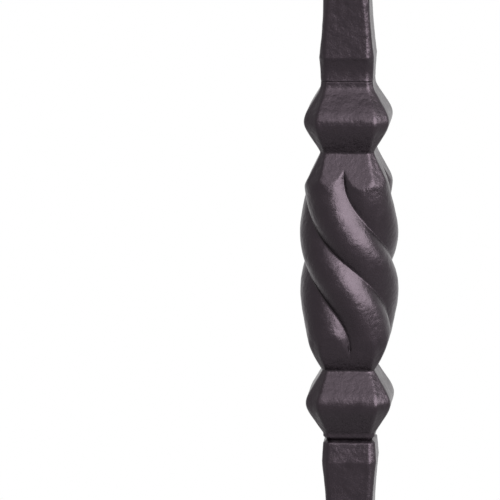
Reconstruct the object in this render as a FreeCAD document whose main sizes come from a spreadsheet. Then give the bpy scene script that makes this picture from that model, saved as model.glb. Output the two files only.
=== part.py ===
import FreeCAD, Part
import math
import os
import Sketcher

# A hammered square iron baluster for a stair: two hammered bars butt-welded to the ends of
# a knuckle, which is a four-strand twisted barrel between two faceted collars.
# The baluster stands along +Z with its foot at the origin. Its front looks along -Y.

DIMENSIONS = (
    ("overall_length", 1117.6),
    # hammered bars: full width at a ridge, dents along the faces, flats on the arrises
    ("bar_width", 13.6),
    ("bar_chamfer", 1.4),
    ("dent_pitch", 31.75),
    ("dent_length", 32.2),
    ("dent_depth", 1.3),
    ("arris_chamfer", 2.6),
    ("upper_lead", 5.9),
    ("lower_lead", 5.5),
    # welded ends: a bar is thinner there from front to back, and a V groove runs round the seam
    ("weld_width", 12.9),
    ("weld_depth", 11.6),
    ("weld_chamfer", 1.2),
    ("weld_bevel", 0.8),
    ("weld_height", 1.6),
    # collars of the knuckle and the necks between them and the barrel
    ("collar_height", 15.8),
    ("collar_width", 21.0),
    ("collar_chamfer", 3.5),
    ("collar_round", 2.4),
    ("neck_width", 13.0),
    ("neck_chamfer", 1.2),
    # twisted barrel: four round strands, which spread sideways where they lie aslant
    ("barrel_height", 54.0),
    ("strand_crest", 12.05),
    ("strand_radius", 6.1),
    ("strand_spread", 2.1),
    ("twist_angle", 188.0),
    ("twist_phase", 4.0),
    ("run_out", 5.8),
    # upper end of the barrel, a pyramid with cut corners
    ("cap_height", 12.2),
    ("cap_width", 25.2),
    ("cap_chamfer", 4.8),
    # lower end of the barrel, steep at the foot and slight at the shoulder above it
    ("foot_height", 3.6),
    ("foot_width", 17.2),
    ("foot_chamfer", 2.4),
    ("shoulder_height", 15.9),
    ("shoulder_width", 24.6),
    ("shoulder_chamfer", 4.5),
)

# Level sections through the turning part of the barrel, its two ends included
TURNING_SECTIONS = 20

doc = FreeCAD.newDocument("stair_baluster")
sheet = doc.addObject("Spreadsheet::Sheet", "sizes")
for row, (alias, value) in enumerate(DIMENSIONS, start=1):
    sheet.set("A%d" % row, alias)
    sheet.set("B%d" % row, str(value))
    sheet.setAlias("B%d" % row, alias)
doc.recompute()


# Lengths that follow from the driving ones, as expressions on the sheet
KNUCKLE_HEIGHT = "(sizes.barrel_height + 2 * sizes.collar_height + 2 * sizes.weld_height)"
BAR_LENGTH = "((sizes.overall_length - %s) / 2)" % KNUCKLE_HEIGHT
DENT_RADIUS = "((sizes.dent_length ^ 2 / 4 + sizes.dent_depth ^ 2) / (2 * sizes.dent_depth))"


def origin_part(body, role):
    """An origin plane or axis of a body, by its role."""
    return next(part for part in body.Origin.OriginFeatures if part.Role == role)


def attached_sketch(body, name, role, turn=None):
    """A sketch on an origin plane of its body, turned about the body's Z axis by some degrees."""
    sketch = body.newObject("Sketcher::SketchObject", name)
    sketch.AttachmentSupport = (origin_part(body, role), [""])
    sketch.MapMode = "FlatFace"
    if turn is not None:
        upright = FreeCAD.Vector(0, 1, 0)
        sketch.AttachmentOffset = FreeCAD.Placement(FreeCAD.Vector(), FreeCAD.Rotation(upright, turn))
    return sketch


def bind(sketch, constraint, name, expression):
    """Adds a constraint whose value comes from the sheet."""
    index = sketch.addConstraint(constraint)
    sketch.renameConstraint(index, name)
    sketch.setExpression("Constraints." + name, expression)


def bind_point(sketch, edge, end, name, across, along):
    """Ties one point of a sketch edge to its place from the sketch's origin."""
    point = sketch.getPoint(edge, end)
    bind(sketch, Sketcher.Constraint("DistanceX", -1, 1, edge, end, point.x), name + "_across", across)
    bind(sketch, Sketcher.Constraint("DistanceY", -1, 1, edge, end, point.y), name + "_along", along)


def round_corner(sketch, name, centre_across, centre_along, radius):
    """An arc about a tied centre that bulges away from the sketch's upright axis."""
    centre = FreeCAD.Vector(sketch.evalExpression(centre_across), sketch.evalExpression(centre_along), 0)
    circle = Part.Circle(centre, FreeCAD.Vector(0, 0, 1), sketch.evalExpression(radius))
    middle = 0 if centre.x > 0 else math.pi
    start_spread = math.pi / 6
    arc = sketch.addGeometry(Part.ArcOfCircle(circle, middle - start_spread, middle + start_spread))
    bind_point(sketch, arc, 3, name, centre_across, centre_along)
    bind(sketch, Sketcher.Constraint("Radius", arc, circle.Radius), name + "_radius", radius)
    return arc


def closed_outline(sketch, name, corners):
    """A closed outline of straight edges, anticlockwise. A sharp corner is its place across and along,
    and a round one is the place of its centre and its radius."""
    names = ["%s%d" % (name, number) for number in range(len(corners))]
    arcs = [round_corner(sketch, names[i], *corner) if len(corner) == 3 else None
            for i, corner in enumerate(corners)]
    starts = []
    ends = []
    for corner, arc in zip(corners, arcs):
        if arc is None:
            point = FreeCAD.Vector(sketch.evalExpression(corner[0]), sketch.evalExpression(corner[1]), 0)
            starts.append(point)
            ends.append(point)
        else:
            starts.append(sketch.getPoint(arc, 2))
            ends.append(sketch.getPoint(arc, 1))
    following = ends[1:] + ends[:1]
    edges = [sketch.addGeometry(Part.LineSegment(*ends_of_edge)) for ends_of_edge in zip(starts, following)]
    for i, corner in enumerate(corners):
        before = edges[i - 1]
        after = edges[i]
        if arcs[i] is None:
            sketch.addConstraint(Sketcher.Constraint("Coincident", before, 2, after, 1))
            bind_point(sketch, after, 1, names[i], corner[0], corner[1])
        else:
            sketch.addConstraint(Sketcher.Constraint("Tangent", before, 2, arcs[i], 1))
            sketch.addConstraint(Sketcher.Constraint("Tangent", arcs[i], 2, after, 1))


def chamfered_section(body, name, height, width, depth, chamfer):
    """An oblong section with its corners cut off, lying level in a body."""
    sketch = attached_sketch(body, name, "XY_Plane")
    sketch.setExpression("AttachmentOffset.Base.z", height)
    side = "((%s) / 2)" % width
    front = "((%s) / 2)" % depth
    side_flat = "(%s - (%s))" % (front, chamfer)
    front_flat = "(%s - (%s))" % (side, chamfer)
    closed_outline(sketch, "corner", (
        (side, side_flat), (front_flat, front), ("-" + front_flat, front), ("-" + side, side_flat),
        ("-" + side, "-" + side_flat), ("-" + front_flat, "-" + front),
        (front_flat, "-" + front), (side, "-" + side_flat),
    ))
    return sketch


def cut_across(body, name, sketch):
    """A cut through the whole body, both ways from its sketch."""
    pocket = body.newObject("PartDesign::Pocket", name)
    pocket.Profile = sketch
    pocket.Type = "ThroughAll"
    pocket.SideType = "Symmetric"
    return pocket


def dent_sketch(body, name, role, offset, height):
    """Two equal circles, one on each side of the bar, that bite a dent into opposite faces."""
    sketch = attached_sketch(body, name, role)
    radius = sketch.evalExpression(DENT_RADIUS)
    for number, sign in enumerate(("", "-")):
        across = "%s(%s)" % (sign, offset)
        centre = FreeCAD.Vector(sketch.evalExpression(across), sketch.evalExpression(height), 0)
        circle = sketch.addGeometry(Part.Circle(centre, FreeCAD.Vector(0, 0, 1), radius))
        bind_point(sketch, circle, 3, "centre%d" % number, across, height)
        bind(sketch, Sketcher.Constraint("Radius", circle, radius), "radius%d" % number, DENT_RADIUS)
    return sketch


def dent_row(body, name, role, lead, first):
    """A row of dents down two opposite faces, at a constant pitch from the first one."""
    offset = "sizes.bar_width / 2 + %s - sizes.dent_depth" % DENT_RADIUS
    pocket = cut_across(body, name + "_dent", dent_sketch(body, name + "_circles", role, offset, first))
    row_of_dents = body.newObject("PartDesign::LinearPattern", name + "_dents")
    row_of_dents.Originals = [pocket]
    row_of_dents.Direction = (origin_part(body, "Z_Axis"), [""])
    row_of_dents.Mode = "Spacing"
    row_of_dents.setExpression("Offset", "sizes.dent_pitch")
    row_of_dents.setExpression("Occurrences", "floor((%s - %s) / sizes.dent_pitch) + 1" % (BAR_LENGTH, lead))
    body.Tip = row_of_dents


def hammered_bar(label, lead):
    """One hammered bar, from its welded end at Z = 0 to its free end. The lead is the length of plain
    bar between the weld and the first ridge, which runs right round the bar."""
    body = doc.addObject("PartDesign::Body", label)
    body.Label = label

    seam = chamfered_section(body, label + "_seam", "0", "sizes.weld_width - 2 * sizes.weld_bevel",
                             "sizes.weld_depth - 2 * sizes.weld_bevel", "sizes.weld_chamfer")
    weld = chamfered_section(body, label + "_weld", "sizes.weld_bevel", "sizes.weld_width",
                             "sizes.weld_depth", "sizes.weld_chamfer")
    ridge = chamfered_section(body, label + "_ridge", lead, "sizes.bar_width", "sizes.bar_width",
                              "sizes.bar_chamfer")
    root = body.newObject("PartDesign::AdditiveLoft", label + "_root")
    root.Profile = seam
    root.Sections = [weld, ridge]
    root.Ruled = True
    length = body.newObject("PartDesign::Pad", label + "_length")
    length.Profile = ridge
    length.setExpression("Length", "%s - %s" % (BAR_LENGTH, lead))
    doc.recompute()

    dent_row(body, label + "_side", "XZ_Plane", lead, "%s + sizes.dent_length / 2" % lead)
    dent_row(body, label + "_front", "YZ_Plane", lead, "%s + sizes.dent_pitch" % lead)
    doc.recompute()

    # a short light dent on front and back, beside the first ridge
    light_offset = "sizes.bar_width / 2 + sqrt(%s ^ 2 - (sizes.dent_length / 4) ^ 2)" % DENT_RADIUS
    light_height = "%s + sizes.dent_length / 4" % lead
    cut_across(body, label + "_light_dent",
               dent_sketch(body, label + "_light_circles", "YZ_Plane", light_offset, light_height))
    doc.recompute()

    # the arrises are hammered flat, deeper past the first ridge
    ridge_reach = "((sizes.bar_width - sizes.bar_chamfer) / sqrt(2))"
    arris_reach = "((sizes.bar_width - sizes.arris_chamfer) / sqrt(2))"
    outside = "(%s + sizes.bar_width)" % ridge_reach
    past_end = "(%s + sizes.bar_width)" % BAR_LENGTH
    sketch = attached_sketch(body, label + "_arris_outline", "XZ_Plane", 45)
    closed_outline(sketch, "arris", (
        (ridge_reach, lead), (outside, lead), (outside, past_end), (arris_reach, past_end),
        (arris_reach, "%s + sizes.dent_pitch / 2" % lead),
    ))
    flat = cut_across(body, label + "_arris", sketch)
    arrises = body.newObject("PartDesign::PolarPattern", label + "_arrises")
    arrises.Originals = [flat]
    arrises.Axis = (origin_part(body, "Z_Axis"), [""])
    arrises.Angle = 360
    arrises.Occurrences = 4
    body.Tip = arrises
    return body


def profile_plate(name, turn, seam, reach):
    """The knuckle's outline between two opposite faces, as a thick plate that is turned about Z. The
    outline is given by its half width at the seam and by its reach at each level with a name."""
    half_barrel = "sizes.barrel_height / 2"
    knuckle_end = "%s / 2" % KNUCKLE_HEIGHT
    end_levels = [
        (reach("neck"), half_barrel),
        (reach("collar") + " - sizes.collar_round", half_barrel + " + sizes.collar_height / 2",
         "sizes.collar_round"),
        (reach("weld"), half_barrel + " + sizes.collar_height"),
        (reach("weld"), knuckle_end + " - sizes.weld_bevel"),
        (seam, knuckle_end),
    ]
    upper = [(reach("cap"), half_barrel + " - sizes.cap_height")] + end_levels
    lower = [(reach(level), "%s - sizes.%s_height" % (half_barrel, level)) for level in ("shoulder", "foot")]
    lower += end_levels
    corners = []
    for across_sign, along_sign, levels in (
        ("", "", upper), ("-", "", upper[::-1]), ("-", "-", lower), ("", "-", lower[::-1]),
    ):
        for across, along, *radius in levels:
            corners.append(("%s(%s)" % (across_sign, across), "%s(%s)" % (along_sign, along), *radius))
    sketch = doc.addObject("Sketcher::SketchObject", name + "_outline")
    sketch.Placement = FreeCAD.Placement(FreeCAD.Vector(), FreeCAD.Rotation(FreeCAD.Vector(1, 0, 0), 90))
    closed_outline(sketch, "level", corners)
    plate = doc.addObject("Part::Extrusion", name)
    plate.Base = sketch
    plate.DirMode = "Normal"
    plate.setExpression("LengthFwd", "4 * sizes.cap_width")
    plate.Symmetric = True
    plate.Solid = True
    plate.Placement = FreeCAD.Placement(FreeCAD.Vector(), FreeCAD.Rotation(FreeCAD.Vector(0, 0, 1), turn))
    return plate


def strand_section(number, height, turned, aslant):
    """A level section through the four strands: four equal arcs that meet in sharp grooves. It is
    turned by a share of the whole twist, and its arcs are spread by how far aslant the strands lie."""
    sketch = doc.addObject("Sketcher::SketchObject", "strands_%d" % number)
    radius = "(sizes.strand_radius + sizes.strand_spread * %r)" % aslant
    offset = "((sizes.strand_crest - %s) / sqrt(2))" % radius
    arc_radius = sketch.evalExpression(radius)
    centre_reach = sketch.evalExpression(offset)
    groove = centre_reach + math.sqrt(arc_radius ** 2 - centre_reach ** 2)
    groove_angle = math.atan2(-centre_reach, groove - centre_reach)
    arcs = []
    for quarter, (across_sign, along_sign) in enumerate((("", ""), ("-", ""), ("-", "-"), ("", "-"))):
        centre = FreeCAD.Vector(sketch.evalExpression(across_sign + offset),
                                sketch.evalExpression(along_sign + offset), 0)
        circle = Part.Circle(centre, FreeCAD.Vector(0, 0, 1), arc_radius)
        first = groove_angle + quarter * math.pi / 2
        last = (quarter + 1) * math.pi / 2 - groove_angle
        arc = sketch.addGeometry(Part.ArcOfCircle(circle, first, last))
        bind_point(sketch, arc, 3, "strand%d" % quarter, across_sign + offset, along_sign + offset)
        bind(sketch, Sketcher.Constraint("Radius", arc, arc_radius), "radius%d" % quarter, radius)
        arcs.append(arc)
    for before, after in zip(arcs, arcs[1:] + arcs[:1]):
        sketch.addConstraint(Sketcher.Constraint("Coincident", before, 2, after, 1))
    sketch.setExpression("Placement.Base.z", height)
    sketch.setExpression("Placement.Rotation.Angle", "sizes.twist_angle * %r - sizes.twist_phase" % turned)
    return sketch


def twisted_strands():
    """The four strands of the barrel. They rise straight from each neck, and turn to the left between
    the two run-outs, slowly at first and fastest at mid-height."""
    twist_height = "(sizes.barrel_height - 2 * sizes.run_out)"
    levels = [("-sizes.barrel_height / 2", 1.0, 0.0)]
    for step in range(TURNING_SECTIONS):
        share = step / (TURNING_SECTIONS - 1)
        eased = share * share * (3 - 2 * share)
        levels.append(("%s * %r" % (twist_height, share - 0.5), 1.0 - eased, 4 * share * (1 - share)))
    levels.append(("sizes.barrel_height / 2", 0.0, 0.0))
    strands = doc.addObject("Part::Loft", "strands")
    strands.Sections = [strand_section(number, *level) for number, level in enumerate(levels)]
    strands.Solid = True
    strands.Ruled = True
    return strands


def collar_block(name, base):
    """A plain block that holds one collar and the welded end beyond it."""
    block = doc.addObject("Part::Box", name)
    width = "(2 * sizes.cap_width)"
    block.setExpression("Length", width)
    block.setExpression("Width", width)
    block.setExpression("Height", "sizes.collar_height + sizes.weld_height")
    block.setExpression("Placement.Base.x", "-%s / 2" % width)
    block.setExpression("Placement.Base.y", "-%s / 2" % width)
    block.setExpression("Placement.Base.z", base)
    return block


def twisted_knuckle(label):
    """The knuckle, centred on the origin: the strands and a block at each end, cut to the outline of the
    flat faces and of the arrises."""
    body = doc.addObject("Part::MultiFuse", label + "_body")
    body.Shapes = [
        twisted_strands(),
        collar_block("upper_block", "sizes.barrel_height / 2"),
        collar_block("lower_block", "-%s / 2" % KNUCKLE_HEIGHT),
    ]

    def flat_reach(level):
        return "sizes.%s_width / 2" % level

    def arris_reach(level):
        return "(sizes.%s_width - sizes.%s_chamfer) / sqrt(2)" % (level, level)

    side_seam = "(sizes.weld_width / 2 - sizes.weld_bevel)"
    front_seam = "(sizes.weld_depth / 2 - sizes.weld_bevel)"
    arris_seam = "(%s + %s - sizes.weld_chamfer) / sqrt(2)" % (side_seam, front_seam)
    for name, turn, seam, reach in (
        ("front_plate", 0, side_seam, flat_reach),
        ("side_plate", 90, front_seam, flat_reach),
        ("left_arris_plate", 45, arris_seam, arris_reach),
        ("right_arris_plate", 135, arris_seam, arris_reach),
    ):
        cut = doc.addObject("Part::Common", label + "_within_" + name)
        cut.Base = body
        cut.Tool = profile_plate(name, turn, seam, reach)
        body = cut
    body.Label = label
    return body


upper_bar = hammered_bar("upper_bar", "sizes.upper_lead")
upper_bar.setExpression("Placement.Base.z", "(sizes.overall_length + %s) / 2" % KNUCKLE_HEIGHT)

knuckle = twisted_knuckle("knuckle")
knuckle.setExpression("Placement.Base.z", "sizes.overall_length / 2")

lower_bar = hammered_bar("lower_bar", "sizes.lower_lead")
lower_bar.Placement = FreeCAD.Placement(FreeCAD.Vector(), FreeCAD.Rotation(FreeCAD.Vector(1, 0, 0), 180))
lower_bar.setExpression("Placement.Base.z", "(sizes.overall_length - %s) / 2" % KNUCKLE_HEIGHT)

doc.recompute()
failed = [thing.Name for thing in doc.Objects if "Invalid" in thing.State or "Error" in thing.State]
if failed:
    raise RuntimeError("not built: " + ", ".join(failed))

os.makedirs("parts", exist_ok=True)
for piece in (upper_bar, knuckle, lower_bar):
    shape = piece.Shape
    if shape.isNull() or not shape.isValid() or len(shape.Solids) != 1:
        raise RuntimeError("not one sound solid: " + piece.Label)
    print(piece.Label, round(shape.Volume, 1), len(shape.Faces), shape.BoundBox)
for piece in (upper_bar, knuckle, lower_bar):
    piece.Shape.exportStep("parts/%s.step" % piece.Label)
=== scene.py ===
import math

import bpy
from mathutils import Matrix, Vector


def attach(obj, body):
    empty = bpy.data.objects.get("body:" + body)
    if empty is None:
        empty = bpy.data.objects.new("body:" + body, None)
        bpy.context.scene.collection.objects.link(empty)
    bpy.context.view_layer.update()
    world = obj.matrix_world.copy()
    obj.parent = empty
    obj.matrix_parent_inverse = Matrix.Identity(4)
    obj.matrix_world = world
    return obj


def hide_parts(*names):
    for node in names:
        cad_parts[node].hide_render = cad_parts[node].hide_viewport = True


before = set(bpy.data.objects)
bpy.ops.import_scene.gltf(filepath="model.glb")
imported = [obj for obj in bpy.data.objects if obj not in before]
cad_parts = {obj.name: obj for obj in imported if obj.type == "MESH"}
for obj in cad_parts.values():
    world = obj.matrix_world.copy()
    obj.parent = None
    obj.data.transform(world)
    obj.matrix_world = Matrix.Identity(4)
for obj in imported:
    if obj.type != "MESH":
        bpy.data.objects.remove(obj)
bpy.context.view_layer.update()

# A hammered square iron baluster in satin black: two hammered bars welded to a twisted knuckle.
# Everything is in metres. Sizes of the baluster are written in millimetres and multiplied by MM.

MM = 0.001
OVERALL_LENGTH = 1117.6 * MM
MIDDLE = Vector((0, 0, OVERALL_LENGTH / 2))

# The section at both welds, and the bevel of its edges: a fine seam above, an open groove below.
WELD = {
    "Weld width": 12.9 * MM,
    "Weld depth": 11.6 * MM,
    "Weld chamfer": 1.2 * MM,
}
UPPER_BEVEL = 0.04 * MM
LOWER_BEVEL = 0.8 * MM

# A width lies across two flats. A chamfer is what each flat loses at a corner.
# The cap and the shoulder are the facets that cut the strands off at the top and the bottom.
STRANDS = 4
KNUCKLE = {
    "Around": 280,
    "Along": 350,
    **WELD,
    "Weld height": 1.6 * MM,
    "Upper bevel": UPPER_BEVEL,
    "Lower bevel": LOWER_BEVEL,
    "Collar height": 15.8 * MM,
    "Collar width": 22.6 * MM,
    "Collar chamfer": 3.7 * MM,
    "Collar round": 5.0 * MM,
    "Neck width": 13.0 * MM,
    "Neck chamfer": 1.2 * MM,
    "Barrel height": 54.0 * MM,
    "Strand crest": 12.1 * MM,
    "Strand radius": 6.1 * MM,
    "Strand spread": 1.5 * MM,
    "Twist angle": math.radians(188.0),
    "Twist phase": math.radians(4.0),
    "Run-out": 5.8 * MM,
    "Cap height": 12.2 * MM,
    "Cap width": 25.2 * MM,
    "Cap chamfer": 4.8 * MM,
    "Foot height": 3.6 * MM,
    "Foot width": 17.9 * MM,
    "Foot chamfer": 2.4 * MM,
    "Shoulder height": 15.9 * MM,
    "Shoulder width": 24.6 * MM,
    "Shoulder chamfer": 4.5 * MM,
    "Edge softness": 0.6 * MM,
    "Relief": 0.22 * MM,
}
KNUCKLE_HEIGHT = KNUCKLE["Barrel height"] + 2 * (KNUCKLE["Collar height"] + KNUCKLE["Weld height"])

# Softness at the necks, over the foot and under the upper weld, in multiples of the edge softness.
NECK_BLEND = 0.4
FOOT_BLEND = 5.0
HOLLOW_BLEND = 2.0

# The lead is the stretch from the weld to the full bar. Scoop is how hollow its front is, 0 for straight.
BAR = {
    "Around": 120,
    "Along": 800,
    **WELD,
    "Length": (OVERALL_LENGTH - KNUCKLE_HEIGHT) / 2,
    "Bevel": UPPER_BEVEL,
    "Lead": 5.9 * MM,
    "Scoop": 2.2,
    "Bar width": 13.6 * MM,
    "Bar chamfer": 1.4 * MM,
    "Arris chamfer": 2.6 * MM,
    "Dent pitch": 31.75 * MM,
    "Dent length": 32.2 * MM,
    "Dent depth": 1.1 * MM,
    "Edge softness": 0.35 * MM,
    "Relief": 0.3 * MM,
}
LOWER_BAR = {**BAR, "Bevel": LOWER_BEVEL, "Lead": 5.5 * MM, "Scoop": 0.0}

# The first dent on the front is half as long as the others and a quarter as deep.
LIGHT_DENT_DEPTH = 0.25
# 0 spaces the rows of a bar's mesh evenly, and 1 crowds them most towards the weld.
ROW_CROWDING = 0.6

# Marks of the forged skin to a metre, and the share of the broad ones in its relief.
BROAD_MARKS = 230.0
FINE_MARKS = 620.0
BROAD_SHARE = 0.7

# The paint: fine grain and broader patches to a metre, and the tones between which the patches run.
GRAIN = 1000.0
PATCHES = 300.0
COAT_DETAIL = 3.0
PATCH_CONTRAST = 1.4
DEEP_BLACK = (0.0025, 0.0019, 0.0024, 1.0)
SOFT_BLACK = (0.0075, 0.0056, 0.007, 1.0)

# Its roughness, how much the patches and the grain change it, and the strength and tint of its gloss.
SATIN = 0.34
PATCH_SATIN = 0.2
GRAIN_SATIN = 0.14
GLOSS = 0.68
GLOSS_TINT = (1.0, 0.8, 0.95, 1.0)

# Its unevenness, as a depth and as shares of that depth.
SKIN_DEPTH = 0.2 * MM
GRAIN_RISE = 0.5
PATCH_RISE = 0.8

# The studio: its pale tone, the light that it gives, and the floor.
PALE_TONE = 0.55
EVEN_LIGHT = 0.06
PAPER = (0.55, 0.55, 0.55, 1.0)
FLOOR_HALF = 40.0
# Tones change between these limits: how squarely a direction faces the back, and metres from the foot.
WHITE_ZONE = (0.2, 0.9)
FLOOR_FADE = (0.2, 1.0)

# The width of the camera's film, in millimetres as lenses are, and how far it sees.
FILM_WIDTH = 36.0
SIGHT_LIMIT = 200.0


class Term:
    """A socket of a node tree that can be reckoned with like a number."""

    def __init__(self, tree, socket):
        self.tree = tree
        self.socket = socket

    def node(self, kind, values=(), outlet=0, **settings):
        """An output of any other node in the same tree. Values go to its inputs by name or number."""
        made = self.tree.nodes.new(kind)
        for name, setting in settings.items():
            setattr(made, name, setting)
        for place, value in dict(values).items():
            if isinstance(value, Term):
                self.tree.links.new(value.socket, made.inputs[place])
            else:
                made.inputs[place].default_value = value
        return Term(self.tree, made.outputs[outlet])

    def math(self, operation, *others):
        return self.node("ShaderNodeMath", enumerate((self,) + others), operation=operation)

    def __add__(self, other):
        return self.math("ADD", other)

    def __sub__(self, other):
        return self.math("SUBTRACT", other)

    def __mul__(self, other):
        return self.math("MULTIPLY", other)

    def __truediv__(self, other):
        return self.math("DIVIDE", other)

    def __neg__(self):
        return self * -1

    def __rsub__(self, other):
        return -self + other

    def __rtruediv__(self, other):
        return self.math("POWER", -1) * other

    __radd__ = __add__
    __rmul__ = __mul__

    def least(self, other, softness=0.0):
        return self.math("SMOOTH_MIN", other, softness)

    def most(self, other, softness=0.0):
        return self.math("SMOOTH_MAX", other, softness)

    def clamped(self):
        """Held between 0 and 1."""
        return self.node("ShaderNodeClamp", {"Value": self})

    def eased(self, low, high):
        """0 below one value and 1 above another, with a smooth step between."""
        return self.node("ShaderNodeMapRange", {"Value": self, "From Min": low, "From Max": high},
                         interpolation_type="SMOOTHSTEP")

    def noise(self, scale, detail):
        """Noise at this place, from 0 to 1."""
        return self.node("ShaderNodeTexNoise", {"Vector": self, "Scale": scale, "Detail": detail})


def form_tree(name, sizes):
    """A geometry tree with one named input for each size. Returns it with its inputs as terms."""
    tree = bpy.data.node_groups.new(name, "GeometryNodeTree")
    for label, value in sizes.items():
        kind = "NodeSocketInt" if isinstance(value, int) else "NodeSocketFloat"
        tree.interface.new_socket(label, in_out="INPUT", socket_type=kind).default_value = value
    tree.interface.new_socket("Geometry", in_out="OUTPUT", socket_type="NodeSocketGeometry")
    inlet = tree.nodes.new("NodeGroupInput")
    return tree, {label: Term(tree, inlet.outputs[label]) for label in sizes}


def on_tube(angle, height, reach):
    """The place at an angle round Z, a height and a reach from the axis."""
    return reach.node("ShaderNodeCombineXYZ", {
        "X": reach * angle.math("COSINE"), "Y": reach * angle.math("SINE"), "Z": height,
    })


def hammered(place, depth):
    """How far a forged skin falls below its highest level, between nothing and about a depth."""
    broad = place.noise(BROAD_MARKS, detail=1.0)
    fine = place.noise(FINE_MARKS, detail=2.0)
    return (broad * BROAD_SHARE + fine * (1 - BROAD_SHARE)).clamped() * depth


def turned_form(size, reach_of, height_of, coat):
    """Ends a tree with a closed tube about Z, whose reach follows a rule of angle and height."""
    tube = size["Around"].node("GeometryNodeMeshCylinder", {
        "Vertices": size["Around"], "Side Segments": size["Along"], "Radius": 1.0, "Depth": 2.0,
    })
    spot = tube.node("GeometryNodeInputPosition")
    across, depth, level = (spot.node("ShaderNodeSeparateXYZ", {0: spot}, outlet) for outlet in "XYZ")
    angle = depth.math("ARCTAN2", across)
    height = height_of(level / 2 + 0.5)
    reach = reach_of(angle, height)
    reach = reach - hammered(on_tube(angle, height, reach), size["Relief"])
    shaped = tube.node("GeometryNodeSetPosition", {
        "Geometry": tube, "Position": on_tube(angle, height, reach),
    })
    smooth = shaped.node("GeometryNodeSetShadeSmooth", {"Geometry": shaped})
    whole = smooth.node("GeometryNodeRealizeInstances", {"Geometry": smooth})
    coated = whole.node("GeometryNodeSetMaterial", {"Geometry": whole, "Material": coat})
    outlet = coated.tree.nodes.new("NodeGroupOutput")
    coated.tree.links.new(coated.socket, outlet.inputs["Geometry"])


def faceted_reach(angle, side, front, arris, softness):
    """How far an oblong section with cut corners reaches at an angle round its axis."""
    above_zero = 1e-4
    toward_side = angle.math("COSINE").math("ABSOLUTE")
    toward_front = angle.math("SINE").math("ABSOLUTE")
    sides = side / toward_side.most(above_zero)
    fronts = front / toward_front.most(above_zero)
    corners = arris * math.sqrt(2) / (toward_side + toward_front)
    return sides.least(fronts, softness).least(corners, softness)


def knuckle_tree(coat):
    """The knuckle about its own middle: four strands that turn to the left, cut to a faceted outline."""
    tree, size = form_tree("twisted_knuckle", KNUCKLE)
    softness = size["Edge softness"]
    neck_level = size["Barrel height"] / 2
    weld_level = neck_level + size["Collar height"]
    end_level = weld_level + size["Weld height"]
    weld_side = size["Weld width"] / 2
    weld_front = size["Weld depth"] / 2
    weld_arris = (weld_side + weld_front - size["Weld chamfer"]) / math.sqrt(2)

    def flat_reach(name):
        return size[name + " width"] / 2

    def arris_reach(name):
        return (size[name + " width"] - size[name + " chamfer"]) / math.sqrt(2)

    def outline(height, reach, weld):
        """Half width of the faceted outline at a height, from the reach at its named levels."""
        neck, collar, cap, foot, shoulder = (
            reach(name) for name in ("Neck", "Collar", "Cap", "Foot", "Shoulder"))
        upper = height.math("GREATER_THAN", 0.0)
        level = height.math("ABSOLUTE")
        out = level - neck_level
        half_collar = size["Collar height"] / 2
        under_collar = neck + out * ((collar - neck) / half_collar)
        over_collar = weld + (weld_level - level) * ((collar - weld) / half_collar)
        upper_end = neck - out * ((cap - neck) / size["Cap height"])
        foot_slope = (foot - neck) / size["Foot height"]
        shoulder_slope = (shoulder - foot) / (size["Shoulder height"] - size["Foot height"])
        lower_end = (neck - out * foot_slope).least(
            foot - (out + size["Foot height"]) * shoulder_slope, softness * FOOT_BLEND)
        barrel_end = lower_end + (upper_end - lower_end) * upper
        collars = under_collar.least(over_collar, size["Collar round"])
        body = collars.most(barrel_end, softness * NECK_BLEND)
        bevel = size["Lower bevel"] + (size["Upper bevel"] - size["Lower bevel"]) * upper
        return body.most(weld, softness * HOLLOW_BLEND * upper) + (end_level - level - bevel).least(0.0)

    def strand_reach(angle, height):
        """How far the four strands reach. They spread sideways where they lie aslant."""
        share = (height / (size["Barrel height"] - size["Run-out"] * 2) + 0.5).clamped()
        eased = share * share * (3 - share * 2)
        turn = size["Twist angle"] * (1 - eased) - size["Twist phase"]
        half_strand = math.pi / STRANDS
        off_crest = (angle - turn - half_strand).math("WRAP", half_strand, -half_strand)
        radius = size["Strand radius"] + size["Strand spread"] * 4 * share * (1 - share)
        offset = size["Strand crest"] - radius
        aside = offset * off_crest.math("SINE")
        return offset * off_crest.math("COSINE") + (radius * radius - aside * aside).math("SQRT")

    def reach_of(angle, height):
        plate = faceted_reach(angle, outline(height, flat_reach, weld_side),
                              outline(height, flat_reach, weld_front),
                              outline(height, arris_reach, weld_arris), softness)
        beyond = height.math("ABSOLUTE").math("GREATER_THAN", neck_level)
        return (strand_reach(angle, height) + beyond).least(plate, softness)

    turned_form(size, reach_of, lambda share: (share * 2 - 1) * end_level, coat)
    return tree


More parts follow.
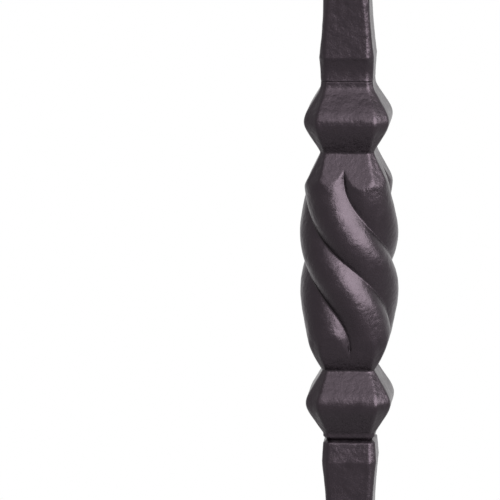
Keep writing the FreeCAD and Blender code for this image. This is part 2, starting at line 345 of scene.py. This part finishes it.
def bar_tree(coat):
    """A bar from its welded end at Z = 0 to its free end, with rows of shallow dents on its faces."""
    tree, size = form_tree("hammered_bar", BAR)
    lead = size["Lead"]
    pitch = size["Dent pitch"]
    length = size["Dent length"]

    def dent(off, half, depth):
        """How deep a dent is at a distance off its middle."""
        return (depth * (1 - off * off / (half * half))).most(0.0)

    def dent_row(height, first):
        """How deep a row of dents is at a height, from the dent whose middle is given."""
        off = (height - first).math("WRAP", pitch / 2, pitch * -0.5)
        started = height.math("GREATER_THAN", first - length / 2)
        return dent(off, length / 2, size["Dent depth"]) * started

    def reach_of(angle, height):
        root = (height / lead).clamped()
        full = size["Bar width"] / 2
        scooped = root + (root * root - root) * size["Scoop"]
        side = size["Weld width"] / 2 * (1 - root) + full * root
        front = size["Weld depth"] / 2 * (1 - scooped) + full * scooped
        run = ((height - lead) / (pitch / 2)).clamped()
        chamfer = size["Weld chamfer"] * (1 - root) + size["Bar chamfer"] * root
        chamfer = chamfer + (size["Arris chamfer"] - size["Bar chamfer"]) * run
        arris = (side + front - chamfer) / math.sqrt(2)
        light = dent(height - lead - length / 4, length / 4, size["Dent depth"] * LIGHT_DENT_DEPTH)
        side = side - dent_row(height, lead + length / 2)
        front = front - dent_row(height, lead + pitch).most(light)
        bevel = (height - size["Bevel"]).least(0.0)
        return faceted_reach(angle, side + bevel, front + bevel, arris + bevel * math.sqrt(2),
                             size["Edge softness"])

    def height_of(share):
        """Rows lie closest near the weld."""
        return size["Length"] * share * (share * ROW_CROWDING + (1 - ROW_CROWDING))

    turned_form(size, reach_of, height_of, coat)
    return tree


def coordinates(tree, kind):
    """The places, or for the surroundings the directions, that a material is worked out from."""
    return Term(tree, tree.nodes.new("ShaderNodeTexCoord").outputs[kind])


def black_coat():
    """Satin black paint on a slightly uneven forged skin."""
    material = bpy.data.materials.new("satin_black_coat")
    material.use_nodes = True
    tree = material.node_tree
    shader = next(node for node in tree.nodes if node.type == "BSDF_PRINCIPLED")
    place = coordinates(tree, "Object")

    grain = place.noise(GRAIN, COAT_DETAIL)
    patches = place.noise(PATCHES, COAT_DETAIL)
    tone = ((patches - 0.5) * PATCH_CONTRAST + 0.5).clamped()
    tint = tone.node("ShaderNodeMix", {"Factor": tone, "A": DEEP_BLACK, "B": SOFT_BLACK},
                     outlet=2, data_type="RGBA")
    satin = (patches - 0.5) * PATCH_SATIN + (grain - 0.5) * GRAIN_SATIN + SATIN
    skin = place.node("ShaderNodeBump", {
        "Strength": 1.0, "Distance": SKIN_DEPTH, "Height": grain * GRAIN_RISE + patches * PATCH_RISE,
    })
    for name, term in (("Base Color", tint), ("Roughness", satin), ("Normal", skin)):
        tree.links.new(term.socket, shader.inputs[name])
    shader.inputs["Specular IOR Level"].default_value = GLOSS
    shader.inputs["Specular Tint"].default_value = GLOSS_TINT
    return material


def in_scene(name, data):
    """A new object in the scene."""
    made = bpy.data.objects.new(name, data)
    bpy.context.scene.collection.objects.link(made)
    return made


def formed_piece(name, tree, sizes, placement):
    """A plain mesh that a tree makes from its sizes, put in place."""
    piece = in_scene(name, bpy.data.meshes.new(name))
    modifier = piece.modifiers.new("form", "NODES")
    modifier.node_group = tree
    for item in tree.interface.items_tree:
        if item.in_out == "INPUT":
            modifier[item.identifier] = sizes[item.name]
    depsgraph = bpy.context.evaluated_depsgraph_get()
    mesh = bpy.data.meshes.new_from_object(piece.evaluated_get(depsgraph), depsgraph=depsgraph)
    mesh.transform(placement)
    piece.modifiers.remove(modifier)
    piece.data = mesh
    return piece


def baluster():
    """The three pieces of the baluster, each in the place of its solid."""
    coat = black_coat()
    bar = bar_tree(coat)
    half_knuckle = Vector((0, 0, KNUCKLE_HEIGHT / 2))
    upward = Matrix.Translation(MIDDLE + half_knuckle)
    downward = Matrix.Translation(MIDDLE - half_knuckle) @ Matrix.Rotation(math.pi, 4, "X")
    for name, node, tree, sizes, placement in (
        ("twisted_knuckle", "knuckle", knuckle_tree(coat), KNUCKLE, Matrix.Translation(MIDDLE)),
        ("hammered_upper_bar", "upper_bar", bar, BAR, upward),
        ("hammered_lower_bar", "lower_bar", bar, LOWER_BAR, downward),
    ):
        piece = formed_piece(name, tree, sizes, placement)
        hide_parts(node)
        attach(piece, "root")


def seen(tree):
    """1 for rays that show the studio as it looks: from the camera, mirrored, or through glass."""
    path = tree.nodes.new("ShaderNodeLightPath")
    camera, glossy, through = (
        Term(tree, path.outputs[f"Is {kind} Ray"]) for kind in ("Camera", "Glossy", "Transmission"))
    return camera.most(glossy).most(through)


def studio_tone(place):
    """How bright the studio looks towards a place: white behind the baluster, pale elsewhere."""
    way = place.node("ShaderNodeVectorMath", {0: place}, operation="NORMALIZE")
    behind = way.node("ShaderNodeSeparateXYZ", {0: way}, "Y").eased(*WHITE_ZONE)
    return behind * (1 - PALE_TONE) + PALE_TONE


def studio_floor():
    """A pale floor that keeps the shadow near the baluster and runs out to the tone of the studio."""
    material = bpy.data.materials.new("pale_floor")
    material.use_nodes = True
    tree = material.node_tree
    tree.nodes.clear()
    place = coordinates(tree, "Object")
    far = place.node("ShaderNodeVectorMath", {0: place}, "Value", operation="LENGTH").eased(*FLOOR_FADE)
    paper = place.node("ShaderNodeBsdfDiffuse", {"Color": PAPER})
    plain = place.node("ShaderNodeEmission", {"Color": studio_tone(place), "Strength": 1.0})
    surface = place.node("ShaderNodeMixShader", {0: far * seen(tree), 1: paper, 2: plain})
    output = tree.nodes.new("ShaderNodeOutputMaterial")
    tree.links.new(surface.socket, output.inputs["Surface"])

    corners = [(x * FLOOR_HALF, y * FLOOR_HALF, 0) for x, y in ((-1, -1), (1, -1), (1, 1), (-1, 1))]
    mesh = bpy.data.meshes.new("floor")
    mesh.from_pydata(corners, [], [(0, 1, 2, 3)])
    mesh.materials.append(material)
    floor = in_scene("floor", mesh)


def surroundings():
    """The tone of the studio to the eye, and dim even light from it."""
    world = bpy.data.worlds.new("studio")
    world.use_nodes = True
    tree = world.node_tree
    tone = studio_tone(coordinates(tree, "Generated"))
    backing = next(node for node in tree.nodes if node.type == "BACKGROUND")
    light = seen(tree) * (tone - EVEN_LIGHT) + EVEN_LIGHT
    tree.links.new(light.socket, backing.inputs["Color"])
    backing.inputs["Strength"].default_value = 1.0
    bpy.context.scene.world = world


def facing_knuckle(azimuth, elevation, roll, offset):
    """The stand of a lamp or camera that faces the knuckle, from an azimuth to the right of its front."""
    turn = Matrix.Rotation(math.radians(azimuth), 4, "Z")
    lift = Matrix.Rotation(math.radians(90 - elevation), 4, "X")
    tilt = Matrix.Rotation(math.radians(roll), 4, "Z")
    return Matrix.Translation(MIDDLE) @ turn @ lift @ Matrix.Translation(offset) @ tilt


def softbox(name, azimuth, elevation, roll, distance, width, height, radiance):
    """An oblong lamp with an even face."""
    lamp = bpy.data.lights.new(name, "AREA")
    lamp.shape = "RECTANGLE"
    lamp.size = width
    lamp.size_y = height
    lamp.energy = radiance * math.pi * width * height
    holder = in_scene(name, lamp)
    holder.matrix_world = facing_knuckle(azimuth, elevation, roll, (0, 0, distance))


def close_camera(azimuth, elevation, roll, distance, frame_height, aside, above):
    """A long lens on the knuckle, whose middle stands aside from the frame's middle and above it."""
    lens = bpy.data.cameras.new("camera")
    lens.sensor_width = FILM_WIDTH
    lens.lens = FILM_WIDTH * distance / frame_height
    lens.clip_end = SIGHT_LIMIT
    camera = in_scene("camera", lens)
    camera.matrix_world = facing_knuckle(azimuth, elevation, roll, (-aside, -above, distance))
    bpy.context.scene.camera = camera


baluster()
studio_floor()
surroundings()
softbox("key_softbox", azimuth=48, elevation=21, roll=10, distance=1.5,
        width=2.1, height=1.2, radiance=5.4)
softbox("top_softbox", azimuth=18, elevation=43, roll=0, distance=2.0,
        width=2.4, height=1.5, radiance=1.4)
close_camera(azimuth=5.0, elevation=11.0, roll=-0.5, distance=1.6,
             frame_height=122 * MM, aside=24.2 * MM, above=-2.1 * MM)
bpy.context.scene.view_settings.view_transform = "Standard"
